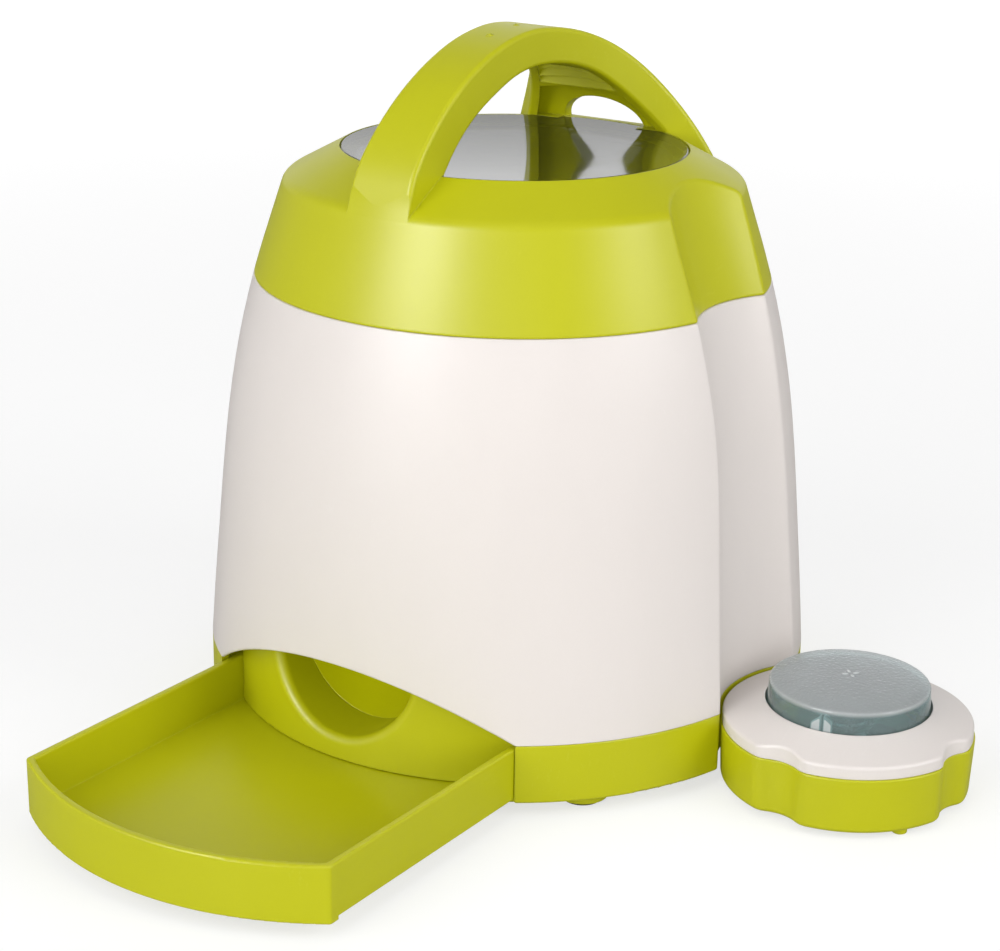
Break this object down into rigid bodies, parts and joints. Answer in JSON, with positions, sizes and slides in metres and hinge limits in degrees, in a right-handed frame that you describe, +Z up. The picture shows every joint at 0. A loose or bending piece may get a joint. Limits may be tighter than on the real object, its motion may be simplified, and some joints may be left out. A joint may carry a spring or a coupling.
{
  "type": "remote-controlled pet treat dispenser",
  "caption": "Drum-shaped treat dispenser with handled lid, viewing window, sliding food tray, side recess and a separate round push-button remote; motor-driven metering disc inside.",
  "frame": {"origin": "on the floor at the centre of the footprint box of the drum, open tray and docked remote; the drum axis is at x -28.44 mm, y +35.19 mm", "axes": "+Z up, -Y towards the side the tray slides out of, +X towards the docked remote"},
  "size_m": [0.2116, 0.2324, 0.1809],
  "materials": {
    "lime_plastic": "satin moulded ABS",
    "white_plastic": "satin moulded ABS",
    "natural_plastic": "natural polypropylene",
    "gear_nylon": "acetal",
    "black_plastic": "moulded ABS",
    "black_rubber": "soft pad",
    "seal_rubber": "silicone",
    "smoked_window": "smoked clear plastic, polished",
    "translucent_dome": "smoked translucent plastic, fine texture inside",
    "led_lens": "diffuse red lens",
    "screw_steel": "zinc plated",
    "motor_steel": "plated can",
    "brass_parts": "turned",
    "contact_metal": "nickel plated spring metal",
    "circuit_board": "solder mask",
    "battery_jacket": "plain printed sleeve",
    "wire_sleeve": "insulated wire"
  },
  "bodies": {
    "root": {"base_shell": "lime_plastic", "rubber_feet": "black_rubber", "outer_housing": "white_plastic", "outlet_panel": "lime_plastic", "chute": "lime_plastic", "hopper": "natural_plastic", "drop_guard": "natural_plastic", "output_bushing": "brass_parts", "idler_pin": "screw_steel", "gearbox_base": "black_plastic", "gearbox_cover": "black_plastic", "gearbox_screws": "screw_steel", "motor_screws": "screw_steel", "motor": "motor_steel", "hopper_screws": "screw_steel", "housing_screws": "screw_steel", "index_switch": "black_plastic", "battery_box": "black_plastic", "batteries": "battery_jacket", "battery_contacts": "contact_metal", "main_pcb": "circuit_board", "pcb_screws": "screw_steel", "pcb_components": "black_plastic", "speaker": "motor_steel", "power_switch": "black_plastic", "antenna_wire": "wire_sleeve", "motor_leads": "wire_sleeve", "speaker_leads": "wire_sleeve"},
    "tray": {"food_tray": "lime_plastic"},
    "lid": {"lid_cap": "lime_plastic", "lid_window": "smoked_window", "lid_seal": "seal_rubber"},
    "metering": {"metering_disc": "natural_plastic", "output_gear": "gear_nylon", "disc_screw": "screw_steel"},
    "idler": {"idler_gear": "gear_nylon"},
    "pinion": {"motor_pinion": "brass_parts", "motor_shaft": "screw_steel"},
    "battery_door": {"battery_door": "lime_plastic", "battery_door_screw": "screw_steel"},
    "power_knob": {"power_switch_knob": "black_plastic"},
    "remote": {"remote_base": "lime_plastic", "remote_bezel": "white_plastic", "remote_screws": "screw_steel", "remote_pcb": "circuit_board", "remote_pcb_screws": "screw_steel", "tact_switch": "black_plastic", "remote_led": "led_lens", "remote_chip": "black_plastic", "remote_batteries": "battery_jacket", "remote_contacts": "contact_metal", "button_spring": "contact_metal"},
    "button": {"remote_button": "translucent_dome"},
    "stem": {"tact_stem": "black_plastic"},
    "remote_door": {"remote_battery_door": "lime_plastic"}
  },
  "joints": [
    {"name": "tray_slide", "type": "slide", "parent": "root", "child": "tray", "axis": [0, 1, 0], "range_m": [0, 0.071]},
    {"name": "lid_lift", "type": "slide", "parent": "root", "child": "lid", "axis": [0, 0, 1], "range_m": [0, 0.08]},
    {"name": "metering_spin", "type": "hinge", "parent": "root", "child": "metering", "pos_m": [-0.02843, 0.03519, 0.075], "axis": [0, 0, 1], "continuous": true},
    {"name": "idler_spin", "type": "hinge", "parent": "root", "child": "idler", "pos_m": [-0.01803, 0.0532, 0.056], "axis": [0, 0, 1], "continuous": true},
    {"name": "pinion_spin", "type": "hinge", "parent": "root", "child": "pinion", "pos_m": [-0.03397, 0.0624, 0.053], "axis": [0, 0, 1], "continuous": true},
    {"name": "battery_door_release", "type": "slide", "parent": "root", "child": "battery_door", "axis": [0, 0, -1], "range_m": [0, 0.03]},
    {"name": "power_switch_slide", "type": "slide", "parent": "root", "child": "power_knob", "axis": [1, 0, 0], "range_m": [0, 0.0055]},
    {"name": "remote_undock", "type": "slide", "parent": "root", "child": "remote", "axis": [1, 0, 0], "range_m": [0, 0.1]},
    {"name": "button_press", "type": "slide", "parent": "remote", "child": "button", "axis": [0, 0, -1], "range_m": [0, 0.0015], "stiffness_N_per_m": 400, "springref_m": -0.0015, "deforming": ["button_spring"]},
    {"name": "stem_press", "type": "slide", "parent": "remote", "child": "stem", "axis": [0, 0, -1], "range_m": [0, 0.0015]},
    {"name": "remote_door_release", "type": "slide", "parent": "remote", "child": "remote_door", "axis": [0, 0, -1], "range_m": [0, 0.02]}
  ],
  "couplings": [
    {"joint": "idler_spin", "follows": "metering_spin", "ratio": -3.3333},
    {"joint": "pinion_spin", "follows": "metering_spin", "ratio": 12},
    {"joint": "stem_press", "follows": "button_press", "ratio": 1}
  ]
}
